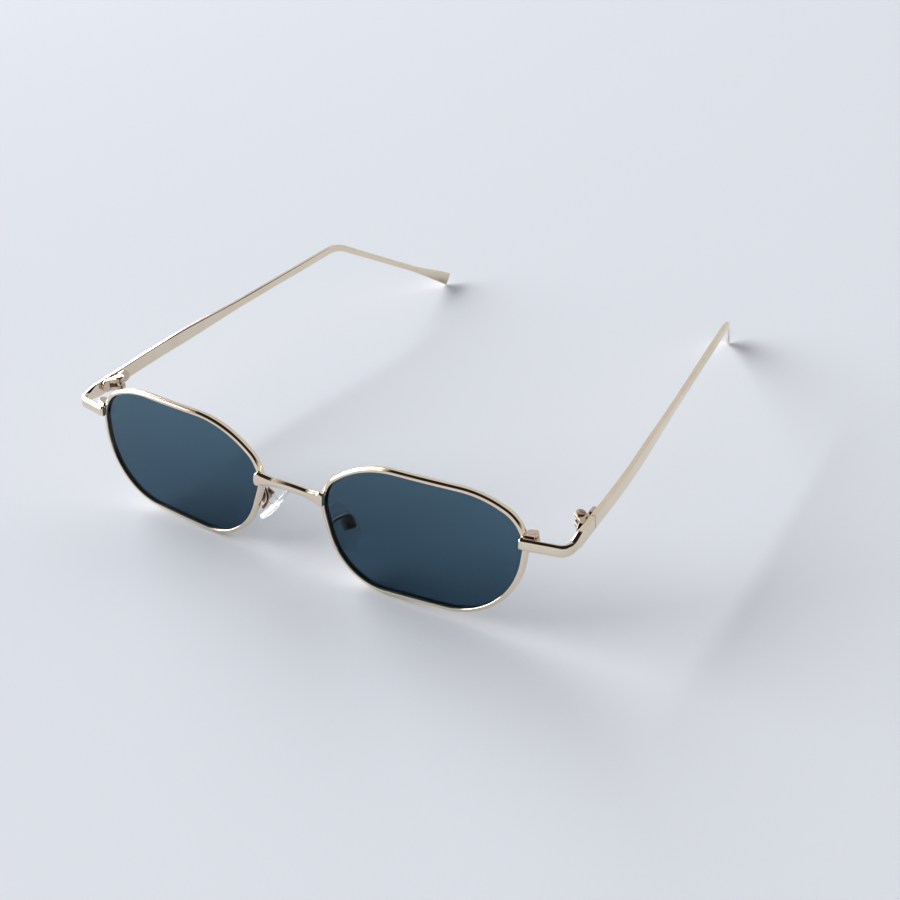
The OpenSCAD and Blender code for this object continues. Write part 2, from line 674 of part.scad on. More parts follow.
module pad_box() {
    color("#d8b68f") at_pad() difference() {
        translate([-box_front, -box_half_w, -box_half_h])
            cube([box_front + box_back + box_back_wall, 2 * box_half_w, 2 * box_half_h]);
        translate([-box_front - over, -post_half_w - pad_play, -box_half_h - over])
            cube([box_front + box_back + over, 2 * (post_half_w + pad_play), 2 * (box_half_h + over)]);
        rotate([90, 0, 0]) translate([0, 0, -box_half_w - over])
            cylinder(h = 2 * (box_half_w + over), r = pad_screw_r + bore_clear);
    }
}

// Pad: an oval plate with a crowned face, and a post that the screw passes through
module nose_pad() {
    crown_r = (pad_len * pad_len / 4) / (2 * pad_t * pad_crown_share);
    post_root = pad_t * pad_root_share;
    color("#dfe6ea", 0.6) at_pad() difference() {
        union() {
            translate([-pad_plate_x, 0, 0]) intersection() {
                rotate([0, -90, 0]) linear_extrude(pad_t) pad_outline();
                translate([crown_r - pad_t, 0, 0]) sphere(r = crown_r, $fn = crown_sides);
            }
            translate([-pad_plate_x - post_root, -post_half_w, -post_half_h])
                cube([pad_plate_x + post_root, 2 * post_half_w, 2 * post_half_h]);
            rotate([90, 0, 0]) translate([0, 0, -post_half_w])
                intersection() {
                    cylinder(h = 2 * post_half_w, r = post_half_h);
                    translate([-2 * post_half_h, -2 * post_half_h, 0])
                        cube([2 * post_half_h + post_back, 4 * post_half_h, 2 * post_half_w]);
                }
        }
        rotate([90, 0, 0]) translate([0, 0, -post_half_w - over])
            cylinder(h = 2 * (post_half_w + over), r = pad_screw_r + bore_clear);
    }
}

// Oval of the pad: two round ends joined by two wide arcs
module pad_outline() {
    tip_r = pad_w * pad_tip_share;
    tip_x = pad_len / 2 - tip_r;
    rise = pad_w / 2 - tip_r;
    flank_x = (tip_x * tip_x - rise * rise) / (2 * rise);
    flank_r = flank_x + pad_w / 2;
    meet_x = tip_x * flank_r / (flank_r - tip_r);
    intersection() {
        translate([0, -flank_x]) circle(r = flank_r, $fn = fine_sides);
        translate([0, flank_x]) circle(r = flank_r, $fn = fine_sides);
        square([2 * meet_x, pad_w], center = true);
    }
    translate([tip_x, 0]) circle(r = tip_r);
    translate([-tip_x, 0]) circle(r = tip_r);
}

module pad_screw() {
    length = 2 * box_half_w;
    color("#b9936b") at_pad() rotate([-90, 0, 0]) difference() {
        union() {
            translate([0, 0, -length / 2]) cylinder(h = length + pad_head_t / 2, r = pad_screw_r);
            translate([0, 0, length / 2 + seat]) cylinder(h = pad_head_t, r = pad_head_r);
        }
        screw_slot(pad_head_r, length / 2 + seat + pad_head_t);
    }
}

module temple() {
    color("#dcbd98") on_table() loft(temple_rings);
}

left_side() rim();  // rim_left
rim();  // rim_right
left_side() lens();  // lens_left
lens();  // lens_right
bridge();
left_side() end_piece();  // end_piece_left
end_piece();  // end_piece_right
left_side() upper_lock();  // upper_lock_left
upper_lock();  // upper_lock_right
left_side() lower_lock();  // lower_lock_left
lower_lock();  // lower_lock_right
left_side() lock_screw();  // lock_screw_left
lock_screw();  // lock_screw_right
left_side() front_leaf();  // front_leaf_left
front_leaf();  // front_leaf_right
left_side() temple_leaf();  // temple_leaf_left
temple_leaf();  // temple_leaf_right
left_side() hinge_screw();  // hinge_screw_left
hinge_screw();  // hinge_screw_right
left_side() pad_arm();  // pad_arm_left
pad_arm();  // pad_arm_right
left_side() pad_box();  // pad_box_left
pad_box();  // pad_box_right
left_side() nose_pad();  // nose_pad_left
nose_pad();  // nose_pad_right
left_side() pad_screw();  // pad_screw_left
pad_screw();  // pad_screw_right
left_side() temple();  // temple_left
temple();  // temple_right
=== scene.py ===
"""Looks of the sunglasses: smooth pieces, materials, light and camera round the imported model.

Lengths are in millimetres until a mesh is made, and angles in degrees. Sizes carry the names that
they have in the part's source. The pieces are drawn for the side at +X and mirrored for the other.
"""

import math

import bmesh
import bpy
import numpy as np
from mathutils import Matrix


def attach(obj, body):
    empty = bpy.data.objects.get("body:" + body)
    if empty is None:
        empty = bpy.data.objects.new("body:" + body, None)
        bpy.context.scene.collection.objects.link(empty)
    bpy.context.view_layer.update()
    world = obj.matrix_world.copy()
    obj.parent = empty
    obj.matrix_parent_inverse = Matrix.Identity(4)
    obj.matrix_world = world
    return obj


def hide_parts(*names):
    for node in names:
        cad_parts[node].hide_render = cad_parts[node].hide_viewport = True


MM = 0.001

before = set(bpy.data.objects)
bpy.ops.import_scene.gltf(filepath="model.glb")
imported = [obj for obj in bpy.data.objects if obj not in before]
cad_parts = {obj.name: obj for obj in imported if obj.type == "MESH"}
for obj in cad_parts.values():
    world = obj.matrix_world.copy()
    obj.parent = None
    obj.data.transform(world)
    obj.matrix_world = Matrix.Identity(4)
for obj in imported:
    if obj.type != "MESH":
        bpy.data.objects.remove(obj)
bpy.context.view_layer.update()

# Sizes of the part
LENS_W, LENS_H, LENS_T, LENS_RECESS, LENS_CURVE_R, LENS_EDGE_IN = 49.9, 29.5, 1.8, 0.5, 350, 0.04
OUTLINE_RADII = [7.7, 24, 26, 8, 14.7, 18.4]
CORNER_SHARES = [
    (1.019, 0.713),
    (0.602, 1.011),
    (-0.58, 0.943),
    (-1.053, 0.34),
    (-0.793, -1.058),
    (0.935, -0.834),
]
NOSE_GAP, WRAP, TILT = 19.2, 1.1, 9.1
RIM_W, RIM_D, RIM_INNER_CUT, GROOVE_D, GROOVE_W = 1.05, 2.0, 0.12, 0.45, 0.9
LOCK_TURN, LOCK_GAP, LOCK_MARGIN = 13, 0.2, 8
BRIDGE_H_MID, BRIDGE_H_END, BRIDGE_T, BRIDGE_BACK = 2.1, 3.5, 1.15, 0.75
BRIDGE_RISE, BRIDGE_Z, BRIDGE_LAP, BRIDGE_FLARE = 0.6, 3.6, 0.3, 0.55
BRIDGE_EDGE_SHARE, BRIDGE_RIM_GAP, BRIDGE_TAB_R = 0.45, 0.3, 0.8
END_H, END_T, END_BAR_LEN, END_SWEEP = 2.7, 1.6, 8.2, 13
END_CORNER_R, END_ARM_LEN, END_SPLAY, END_Z, END_LAP = 2.6, 9.2, 5, 7.5, 0.15
END_CHANGE_SHARE, END_FLAT_LEN = 0.4, END_LAP + RIM_W
BUTT_GAP = 0.15
TEMPLE_H_FRONT, TEMPLE_H_BACK, TEMPLE_T, TEMPLE_EDGE_R = 3.6, 2.2, 1.2, 0.3
TEMPLE_WIDE_LEN, TEMPLE_TAPER_LEN, TEMPLE_LEN = 24, 28, 87.5
TEMPLE_IN, HINGE_IN, TEMPLE_RISE, BOW_LEN, LEAF_LEN = 4.2, 0.5, 2.4, 26, 4.6
BEND_R, BEND_DROP, BEND_IN, EAR_H = 14, 30, 18, 1.9
TIP_H, TIP_T, TIP_FLARE_LEN, EAR_SLIM_BENDS, FLARE_SHARE = 4.3, 1.5, 19, 3, 0.86
PAD_LEN, PAD_W, PAD_T, PAD_X, PAD_Y, PAD_DROP = 12.5, 7, 1.7, 12.3, 6.9, 4.8
PAD_SPLAY, PAD_LEAN, PAD_RAKE, PAD_PLATE_X = 24, 42.5, 4, 2.1
PAD_CROWN_SHARE, PAD_TIP_SHARE = 0.55, 0.33
POST_HALF_W, POST_HALF_H, POST_BACK = 0.6, 1.1, 0.45
BOX_BACK, BOX_BACK_WALL = 0.8, 0.4
ARM_R, ARM_ROOT_ANGLE, ARM_FOOT_LEN = 0.42, 197, 1.8
ARM_ROOT_STEP = (0.885, -7.4)
ARM_PULL_LOW, ARM_PULL_HIGH, ARM_PULL_FOOT = (-0.8, 1.6, 1.6), (-0.2, 3.4, 2.7), (0.8, 0.3, 2.5)
SEAT, GROOVE_CLEAR = 0.01, 0.08

# Sizes of the smooth pieces alone: their edges are rounder than the solids' edges, the front ends
# of the end pieces and the tips are rounded, and the lens has a dark margin inside its edge,
# painted shade where it meets the rim
RIM_EDGE_R, BRIDGE_EDGE_R, END_EDGE_R, TIP_EDGE_R = 0.68, 0.8, 0.75, 0.55
END_CAP_R, TIP_CAP_R = 0.45, 0.5
# Width of the lens's dark margin, painted shade where the lens meets the rim
LENS_SHADE_MARGIN = 0.05
PAD_ROUND_R, PAD_MIN_ROUND = 0.55, 0.05
POST_SINK, POST_ROUND_R = PAD_T / 3, 0.12

# Fineness of the smooth pieces: steps of a part, or shares of its length or width
OUTLINE_STEP, OUTLINE_SPAN = 2.5, 1.5  # degrees on the outline's arcs, millimetres on its sides
ROUND_STEPS, CAP_STEPS = 5, 6
LENS_RINGS = 8
BRIDGE_MID_STEPS, BRIDGE_STEP_STEPS, BRIDGE_TAB_STEPS = 28, 3, 10
END_BAR_SHARES, END_STEPS = (0.15, 0.5, 1), 24
TEMPLE_STEPS, BEND_STEPS, EAR_STEPS = 60, 16, 30
PAD_OUTLINE_STEPS, PAD_BACK_SHARES, PAD_FACE_SHARES = 20, (0.35, 0.75), (0.85, 0.6, 0.3)
POST_STEPS = 8
ARM_STEPS, ARM_SIDES = 48, 20


# Small helpers
def sin(a):
    return math.sin(math.radians(a))


def cos(a):
    return math.cos(math.radians(a))


def tan(a):
    return math.tan(math.radians(a))


def vec(*c):
    return np.array(c, float)


def unit(v):
    return v / np.linalg.norm(v)


def mix(a, b, t):
    return a + (b - a) * t


def clamp(t):
    return min(1.0, max(0.0, t))


def ease(t):
    c = clamp(t)
    return c * c * (3 - 2 * c)


def span(a, b, n):
    return [mix(a, b, k / n) for k in range(n + 1)]


def rotated(p, angle, i, j):
    """The point turned by an angle from its coordinate i toward its coordinate j."""
    q = vec(*p)
    q[i] = p[i] * cos(angle) - p[j] * sin(angle)
    q[j] = p[i] * sin(angle) + p[j] * cos(angle)
    return q


# Lens outline, as in the part's source; a station is a point of it with its outward angle
CORNERS = [vec(sx * LENS_W / 2, sy * LENS_H / 2) for sx, sy in CORNER_SHARES]
N = len(CORNERS)


def side(i):
    return CORNERS[(i + 1) % N] - CORNERS[i % N]


def side_angle(i):
    s = side(i)
    return math.degrees(math.atan2(s[1], s[0]))


def turn(i):
    return (side_angle(i) - side_angle(i - 1) + 720) % 360


def tangent_len(i):
    return OUTLINE_RADII[i % N] * tan(turn(i) / 2)


def arc_r(i):
    before = np.linalg.norm(side(i - 1)) / (tangent_len(i - 1) + tangent_len(i))
    after = np.linalg.norm(side(i)) / (tangent_len(i) + tangent_len(i + 1))
    return OUTLINE_RADII[i % N] * min(1, before, after)


def arc_from(i):
    return side_angle(i - 1) - 90


def arc_start(i):
    return CORNERS[i % N] - unit(side(i - 1)) * arc_r(i) * tan(turn(i) / 2)


def arc_point(i, a):
    first = arc_from(i)
    centre = arc_start(i) - arc_r(i) * vec(cos(first), sin(first))
    return centre + arc_r(i) * vec(cos(a), sin(a))


def arc_stations(i, first, last):
    n = max(1, math.ceil((last - first) / OUTLINE_STEP))
    return [(arc_point(i, a), a) for a in span(first, last, n)]


def side_stations(i):
    a = arc_from(i + 1)
    p, q = arc_point(i, a), arc_start(i + 1)
    n = math.ceil(np.linalg.norm(q - p) / OUTLINE_SPAN)
    return [(mix(p, q, k / n), a) for k in range(1, n)]


def corner_stations(i):
    return arc_stations(i, arc_from(i), arc_from(i) + turn(i))


LOCK_ANGLE = min(arc_from(0) + turn(0) - LOCK_MARGIN, max(arc_from(0) + LOCK_MARGIN, LOCK_TURN))
LOCK_HALF = math.degrees(math.asin(LOCK_GAP / 2 / (arc_r(0) + RIM_W)))
LOCK_POINT = arc_point(0, LOCK_ANGLE)
LENS_X = NOSE_GAP / 2 + LENS_W / 2


def sag(p):
    return LENS_CURVE_R - math.sqrt(LENS_CURVE_R**2 - float(np.dot(p, p)))


def to_front(p):
    """A point of the lens's own frame, across, deep and up, in the front before it leans."""
    x = LENS_X + p[0] * cos(WRAP) - p[1] * sin(WRAP)
    return vec(x, p[0] * sin(WRAP) + p[1] * cos(WRAP), p[2])


def edge_point(station, out, deep):
    """A point beside the outline, so far outward from a station and so far behind its front."""
    p = station[0] + out * vec(cos(station[1]), sin(station[1]))
    return to_front(vec(p[0], deep + sag(station[0]), p[1]))


def lean(p):
    """A point of the upright front, where the leaning front has it."""
    return rotated(p, -TILT, 1, 2)


def heading(yaw, pitch):
    return vec(-sin(yaw) * cos(pitch), cos(yaw) * cos(pitch), sin(pitch))


def quarter(cx, cy, r, first):
    """Points of a quarter circle about (cx, cy), anticlockwise from the angle first."""
    return [(cx + r * cos(a), cy + r * sin(a)) for a in span(first, first + 90, ROUND_STEPS)]


def bar_section(w, h, r):
    """A rounded rectangle from its half width, half height and edge radius."""
    parts = [(w - r, h - r, 0), (r - w, h - r, 90), (r - w, r - h, 180), (w - r, r - h, 270)]
    return [q for cx, cy, first in parts for q in quarter(cx, cy, r, first)]


# Rim, from one face of its lock gap round to the other
def rim_section():
    """Its points, outward and deep, from the groove's back lip over the front to the back."""
    lip = RIM_INNER_CUT
    front = [(lip - x, lip - y) for x, y in quarter(0, 0, lip, 0)]
    outer = RIM_W - RIM_EDGE_R
    turned = [(outer + y, RIM_EDGE_R - x) for x, y in quarter(0, 0, RIM_EDGE_R, 0)]
    back = [(outer + x, RIM_D - RIM_EDGE_R + y) for x, y in quarter(0, 0, RIM_EDGE_R, 0)]
    inner = [(lip - y, RIM_D - lip + x) for x, y in quarter(0, 0, lip, 0)]
    groove = [(0, RIM_D / 2 + GROOVE_W / 2), (GROOVE_D, RIM_D / 2), (0, RIM_D / 2 - GROOVE_W / 2)]
    return groove + front + turned + back + inner


def rim_rings():
    stations = arc_stations(0, LOCK_ANGLE + LOCK_HALF, arc_from(0) + turn(0)) + side_stations(0)
    for i in range(1, N):
        stations += corner_stations(i) + side_stations(i)
    stations += arc_stations(0, arc_from(0), LOCK_ANGLE - LOCK_HALF)
    section = rim_section()
    return [[lean(edge_point(s, out, deep)) for out, deep in section] for s in stations]


# Lens: two spherical faces, a dark margin of painted shade round each and a bevelled edge in the
# groove. Its rings run from the middle of the front face over the edge to the middle of the back
# face.
LENS_FRONT, LENS_BACK = LENS_RECESS, LENS_RECESS + LENS_T
LENS_BEVEL = GROOVE_W / 2 - GROOVE_CLEAR
LENS_EDGE_RINGS = [
    (-LENS_EDGE_IN - LENS_SHADE_MARGIN, LENS_FRONT),
    (-LENS_EDGE_IN, LENS_FRONT),
    (-LENS_EDGE_IN, RIM_D / 2 - LENS_BEVEL),
    (GROOVE_D - GROOVE_CLEAR, RIM_D / 2),
    (-LENS_EDGE_IN, RIM_D / 2 + LENS_BEVEL),
    (-LENS_EDGE_IN, LENS_BACK),
    (-LENS_EDGE_IN - LENS_SHADE_MARGIN, LENS_BACK),
]


def lens_rings():
    stations = [s for i in range(N) for s in corner_stations(i) + side_stations(i)]

    def face(share, deep):
        ring = []
        for p, a in stations:
            q = (p - LENS_EDGE_IN * vec(cos(a), sin(a))) * share
            ring.append(to_front(vec(q[0], deep + sag(q), q[1])))
        return ring

    shares = [k / LENS_RINGS for k in range(1, LENS_RINGS)]
    rings = [face(s, LENS_FRONT) for s in shares]
    rings += [[edge_point(s, out, deep) for s in stations] for out, deep in LENS_EDGE_RINGS]
    rings += [face(s, LENS_BACK) for s in reversed(shares)]
    first = to_front(vec(0, LENS_FRONT, 0))
    last = first + vec(0, LENS_T, 0)
    return [[lean(p) for p in ring] for ring in rings], lean(first), lean(last)


# Bridge
def bridge_rings():
    nose = edge_point((arc_point(3, 180), 180), 0, 0)
    end_x = NOSE_GAP / 2 + BRIDGE_LAP
    inner_x = NOSE_GAP / 2 - RIM_W - BRIDGE_RIM_GAP
    tab_x = end_x - BRIDGE_TAB_R
    step_x = mix(inner_x, tab_x, 0.5)
    half = span(0, inner_x, BRIDGE_MID_STEPS)
    half += span(inner_x, step_x, BRIDGE_STEP_STEPS)[1:] + [tab_x]
    half += [tab_x + BRIDGE_TAB_R * sin(a) for a in span(0, 90, BRIDGE_TAB_STEPS)[1:]]
    rings = []
    for x in [-x for x in reversed(half[1:])] + half:
        t = abs(x) / end_x
        h = mix(BRIDGE_H_MID, BRIDGE_H_END, ease(1 - (1 - t) / BRIDGE_FLARE))
        behind = mix(BRIDGE_BACK, -SEAT, clamp((abs(x) - inner_x) / (step_x - inner_x)))
        front, back = nose[1] - BRIDGE_T, nose[1] + behind
        z = BRIDGE_Z - BRIDGE_RISE * t * t
        tab = max(0, abs(x) - tab_x)
        cut = BRIDGE_TAB_R - math.sqrt(max(0, BRIDGE_TAB_R**2 - tab**2))
        edge_r = min(BRIDGE_EDGE_R, BRIDGE_EDGE_SHARE * (back - front))
        section = bar_section((back - front) / 2, h / 2 - cut, edge_r)
        rings.append([lean(vec(x, (front + back) / 2 + y, z + up)) for y, up in section])
    return rings


# End piece: flat on the rim, swept back, round the corner and along the hinge
LOCK_EDGE = edge_point((LOCK_POINT, LOCK_ANGLE), 0, 0)
END_CAP_TURNS = span(0, 90, CAP_STEPS)


def end_path():
    """Points with direction, share of the corner turned and share of the size change."""
    start = lean(vec(LOCK_EDGE[0] - END_LAP, LOCK_EDGE[1] - 2 * SEAT - END_T / 2, END_Z))
    flat = lean(vec(cos(WRAP), sin(WRAP), 0))
    along = lean(vec(cos(END_SWEEP), sin(END_SWEEP), 0))
    arm = heading(-END_SPLAY, TEMPLE_RISE)
    bend = start + END_FLAT_LEN * flat
    corner = bend + (END_BAR_LEN - END_FLAT_LEN) * along
    angle = math.degrees(math.acos(float(np.dot(along, arm))))

    def corner_dir(t):
        return (sin((1 - t) * angle) * along + sin(t * angle) * arm) / sin(angle)

    def arm_dir(t):
        return heading(mix(-END_SPLAY, HINGE_IN, min(1, t / END_CHANGE_SHARE)), TEMPLE_RISE)

    path = [(start + END_CAP_R * (1 - cos(a)) * flat, flat, 0, 0) for a in END_CAP_TURNS]
    path += [(bend, unit(flat + along), 0, 0)]
    path += [(mix(bend, corner, t), along, 0, 0) for t in END_BAR_SHARES]
    p = corner
    step = 2 * END_CORNER_R * sin(angle / END_STEPS / 2)
    for k in range(1, END_STEPS + 1):
        p = p + step * corner_dir((k - 0.5) / END_STEPS)
        t = k / END_STEPS
        path.append((p, corner_dir(t), ease(t), 0))
    for k in range(1, END_STEPS + 1):
        p = p + END_ARM_LEN / END_STEPS * arm_dir((k - 0.5) / END_STEPS)
        t = k / END_STEPS
        path.append((p, arm_dir(t), 1, ease(t / END_CHANGE_SHARE)))
    return path


def end_rings():
    up_front = lean(vec(0, 0, 1))
    rings = []
    insets = [END_CAP_R * (1 - sin(a)) for a in END_CAP_TURNS]
    for i, (p, direction, turned, change) in enumerate(end_path()):
        across = unit(np.cross(direction, mix(up_front, vec(0, 0, 1), turned)))
        up = np.cross(across, direction)
        h, w = mix(END_H, TEMPLE_H_FRONT, change), mix(END_T, TEMPLE_T, change)
        inset = insets[i] if i < len(insets) else 0
        edge_r = mix(END_EDGE_R, TEMPLE_EDGE_R, change) - inset
        section = bar_section(w / 2 - inset, h / 2 - inset, edge_r)
        rings.append([p + a * across + b * up for a, b in section])
    return rings


# Temple: it ends where its tip stands on the table, so it depends on how far the front is lifted
def temple_rings(lift):
    start = end_path()[-1][0] + BUTT_GAP * heading(HINGE_IN, TEMPLE_RISE)
    bend_len = math.radians(BEND_R * (TEMPLE_RISE + BEND_DROP))
    fall = BEND_R * (cos(TEMPLE_RISE) - cos(BEND_DROP))
    bend_end_z = start[2] + lift + TEMPLE_LEN * sin(TEMPLE_RISE) - fall
    ear_len = (bend_end_z - TIP_H / 2 * cos(BEND_DROP)) / sin(BEND_DROP)
    total = TEMPLE_LEN + bend_len + ear_len

    def direction(s):
        share = clamp((s - TEMPLE_LEN) / bend_len)
        bow = mix(HINGE_IN, TEMPLE_IN, ease((s - LEAF_LEN) / BOW_LEN))
        return heading(mix(bow, BEND_IN, ease(share)), mix(TEMPLE_RISE, -BEND_DROP, share))

    def height(s):
        slim = mix(TEMPLE_H_FRONT, TEMPLE_H_BACK, ease((s - TEMPLE_WIDE_LEN) / TEMPLE_TAPER_LEN))
        ear = mix(slim, EAR_H, ease((s - TEMPLE_LEN + bend_len) / bend_len / EAR_SLIM_BENDS))
        flare = (s - total + TIP_FLARE_LEN) / TIP_FLARE_LEN
        return mix(ear, TIP_H, ease(max(0, flare) * FLARE_SHARE) / ease(FLARE_SHARE))

    def thickness(s):
        return mix(TEMPLE_T, TIP_T, ease((s - total + TIP_FLARE_LEN) / TIP_FLARE_LEN))

    stations = span(0, TEMPLE_LEN, TEMPLE_STEPS)
    stations += span(TEMPLE_LEN, TEMPLE_LEN + bend_len, BEND_STEPS)[1:]
    stations += span(TEMPLE_LEN + bend_len, total - TIP_CAP_R, EAR_STEPS)[1:]
    stations += [total - TIP_CAP_R * (1 - sin(a)) for a in span(0, 90, CAP_STEPS)[1:]]
    rings, p, before = [], start, 0
    for s in stations:
        p = p + (s - before) * unit(direction((s + before) / 2))
        before = s
        across = unit(np.cross(direction(s), vec(0, 0, 1)))
        up = np.cross(across, direction(s))
        cap = max(0, s - total + TIP_CAP_R)
        inset = TIP_CAP_R - math.sqrt(max(0, TIP_CAP_R**2 - cap**2))
        edge_r = mix(TEMPLE_EDGE_R, TIP_EDGE_R, ease((s - TEMPLE_LEN) / bend_len)) - inset
        section = bar_section(thickness(s) / 2 - inset, height(s) / 2 - inset, edge_r)
        rings.append([p + a * across + b * up for a, b in section])
    return rings


# Nose pad, its post and its arm
PAD_AT = vec(PAD_X, PAD_Y, -PAD_DROP)


def from_pad(p):
    """A point of the pad's own frame, with its plate at -x and its length along z, in the front."""
    raked = rotated(p, PAD_RAKE, 1, 2)
    leaning = rotated(raked, -PAD_LEAN, 2, 0)
    return PAD_AT + rotated(leaning, -PAD_SPLAY, 0, 1)


def pad_outline():
    """Points of the oval, along the pad and across it, each with its outward normal's angle."""
    tip_r = PAD_W * PAD_TIP_SHARE
    tip_x, rise = PAD_LEN / 2 - tip_r, PAD_W / 2 - tip_r
    flank_x = (tip_x**2 - rise**2) / (2 * rise)
    flank_r = flank_x + PAD_W / 2
    meet = math.degrees(math.atan2(flank_x, tip_x))
    points = []
    for a in span(-meet, meet, PAD_OUTLINE_STEPS):
        points.append((tip_x + tip_r * cos(a), tip_r * sin(a), a))
    for a in span(meet, 180 - meet, PAD_OUTLINE_STEPS)[1:-1]:
        points.append((flank_r * cos(a), -flank_x + flank_r * sin(a), a))
    return points + [(-x, -y, a + 180) for x, y, a in points]


def pad_rings():
    """Rings from the middle of the plate's back, round its rounded edge, to the crown's middle."""
    outline = pad_outline()
    crown_r = (PAD_LEN**2 / 4) / (2 * PAD_T * PAD_CROWN_SHARE)
    face_x = -PAD_PLATE_X - PAD_T + crown_r

    def crown(along, across):
        return face_x - math.sqrt(crown_r**2 - along**2 - across**2)

    rings = []
    for share in PAD_BACK_SHARES:
        points = [vec(-PAD_PLATE_X, y * share, x * share) for x, y, _ in outline]
        rings.append([from_pad(p) for p in points])
    for q in span(0, 90, ROUND_STEPS):
        ring = []
        for x, y, a in outline:
            inset = PAD_ROUND_R * (1 - sin(q))
            px, py = x - inset * cos(a), y - inset * sin(a)
            ring.append(from_pad(vec(-PAD_PLATE_X - PAD_ROUND_R * (1 - cos(q)), py, px)))
        rings.append(ring)
    for q in span(0, 90, ROUND_STEPS):
        ring = []
        for x, y, a in outline:
            inset = PAD_ROUND_R * (1 - cos(q))
            px, py = x - inset * cos(a), y - inset * sin(a)
            face = crown(px, py)
            room = max(PAD_MIN_ROUND, -PAD_PLATE_X - PAD_ROUND_R - face)
            ring.append(from_pad(vec(face + min(PAD_ROUND_R, room) * (1 - sin(q)), py, px)))
        rings.append(ring)
    inner = [(x - PAD_ROUND_R * cos(a), y - PAD_ROUND_R * sin(a)) for x, y, a in outline]
    for share in PAD_FACE_SHARES:
        points = [vec(crown(x * share, y * share), y * share, x * share) for x, y in inner]
        rings.append([from_pad(p) for p in points])
    first, last = from_pad(vec(-PAD_PLATE_X, 0, 0)), from_pad(vec(crown(0, 0), 0, 0))
    return [[lean(p) for p in ring] for ring in rings], lean(first), lean(last)


def post_rings():
    """The post behind the pad: a plate with a round back, cut flat, and rounded sides."""
    cut = math.degrees(math.acos(POST_BACK / POST_HALF_H))
    turns = span(-90, -cut, POST_STEPS) + span(cut, 90, POST_STEPS)
    root_x = -PAD_PLATE_X - POST_SINK
    shape = [(POST_HALF_H * cos(a), POST_HALF_H * sin(a)) for a in turns]
    shape = [(root_x, -POST_HALF_H)] + shape + [(root_x, POST_HALF_H)]
    flat = 1 - POST_ROUND_R / POST_HALF_W
    rings = []
    for side_share, inset in ((-1, POST_ROUND_R), (-flat, 0), (flat, 0), (1, POST_ROUND_R)):
        shrink = 1 - inset / POST_HALF_H
        ring = [vec(x * shrink, side_share * POST_HALF_W, z * shrink) for x, z in shape]
        rings.append([lean(from_pad(p)) for p in ring])
    return rings


def bezier(points, t):
    """The point at share t of the curve with these control points."""
    while len(points) > 1:
        points = [mix(a, b, t) for a, b in zip(points, points[1:])]
    return points[0]


# A direction that the arm never runs in, to turn its round section by
ARM_UPWARD = vec(0.3, 0, 1)


def arm_rings():
    root_at = arc_point(3, 180) + vec(*ARM_ROOT_STEP)
    root = edge_point((root_at, ARM_ROOT_ANGLE), RIM_W / 2, RIM_D + SEAT)
    foot = from_pad(vec(BOX_BACK + BOX_BACK_WALL + SEAT, 0, 0))
    foot_out = from_pad(vec(BOX_BACK + BOX_BACK_WALL + ARM_FOOT_LEN, 0, 0))
    control = [root, root + vec(*ARM_PULL_LOW), root + vec(*ARM_PULL_HIGH)]
    control += [foot_out + vec(*ARM_PULL_FOOT), foot_out, foot]
    points = [bezier(control, k / ARM_STEPS) for k in range(ARM_STEPS + 1)]
    rings = []
    for k, p in enumerate(points):
        if k == 0:
            direction = vec(0, 1, 0)
        elif k == ARM_STEPS:
            direction = unit(foot - foot_out)
        else:
            direction = unit(points[k + 1] - points[k - 1])
        across = unit(np.cross(direction, ARM_UPWARD))
        up = np.cross(across, direction)
        turns = span(0, 360, ARM_SIDES)[:-1]
        rings.append([lean(p + ARM_R * (cos(a) * across + sin(a) * up)) for a in turns])
    return rings


# Place on the table, as in the part's source
RIM_RINGS = rim_rings()
LIFT = -min(p[2] for ring in RIM_RINGS for p in ring)
TEMPLE_RINGS = temple_rings(LIFT)
FRONT_Y = min(p[1] for ring in RIM_RINGS for p in ring)
BACK_Y = max(p[1] for p in TEMPLE_RINGS[-1])
SHIFT = vec(0, -(FRONT_Y + BACK_Y) / 2, LIFT)


def loft_parts(rings, poles=None):
    """Points and faces through the rings, closed by flat ends or by a fan round each pole."""
    n, m = len(rings), len(rings[0])
    points = [p + SHIFT for ring in rings for p in ring]
    faces = []
    for i in range(n - 1):
        for j in range(m):
            a, b = i * m + j, i * m + (j + 1) % m
            faces.append((a, b, b + m, a + m))
    if poles is not None:
        points += [poles[0] + SHIFT, poles[1] + SHIFT]
        faces += [(n * m, (j + 1) % m, j) for j in range(m)]
        faces += [(n * m + 1, (n - 1) * m + j, (n - 1) * m + (j + 1) % m) for j in range(m)]
    else:
        faces += [tuple(range(m - 1, -1, -1)), tuple((n - 1) * m + j for j in range(m))]
    return points, faces


def joined(*parts):
    """Several lots of points and faces as one."""
    points, faces = [], []
    for part_points, part_faces in parts:
        start = len(points)
        points += part_points
        faces += [tuple(start + k for k in face) for face in part_faces]
    return points, faces


def make_piece(name, points, faces, mirrored, sharp_angle):
    """A smooth piece from millimetre points; the mirrored one is the left-hand piece."""
    sign = -1 if mirrored else 1
    mesh = bpy.data.meshes.new(name)
    mesh.from_pydata([(sign * p[0] * MM, p[1] * MM, p[2] * MM) for p in points], [], faces)
    tidy = bmesh.new()
    tidy.from_mesh(mesh)
    bmesh.ops.recalc_face_normals(tidy, faces=tidy.faces)
    tidy.to_mesh(mesh)
    tidy.free()
    mesh.polygons.foreach_set("use_smooth", [True] * len(mesh.polygons))
    mesh.set_sharp_from_angle(angle=math.radians(sharp_angle))
    piece = bpy.data.objects.new(name, mesh)
    bpy.context.scene.collection.objects.link(piece)
    return piece


def add_weighted_normals(piece):
    weighted = piece.modifiers.new("weighted_normals", "WEIGHTED_NORMAL")
    weighted.keep_sharp = True


# How close together a CAD mesh's points are one point, how flat its faces are one face, and
# which edges are rounded, with how many bands
SAME_POINT_M, SAME_PLANE_ANGLE, BEVEL_ANGLE, BEVEL_SEGMENTS = 1e-7, 0.5, 30, 2


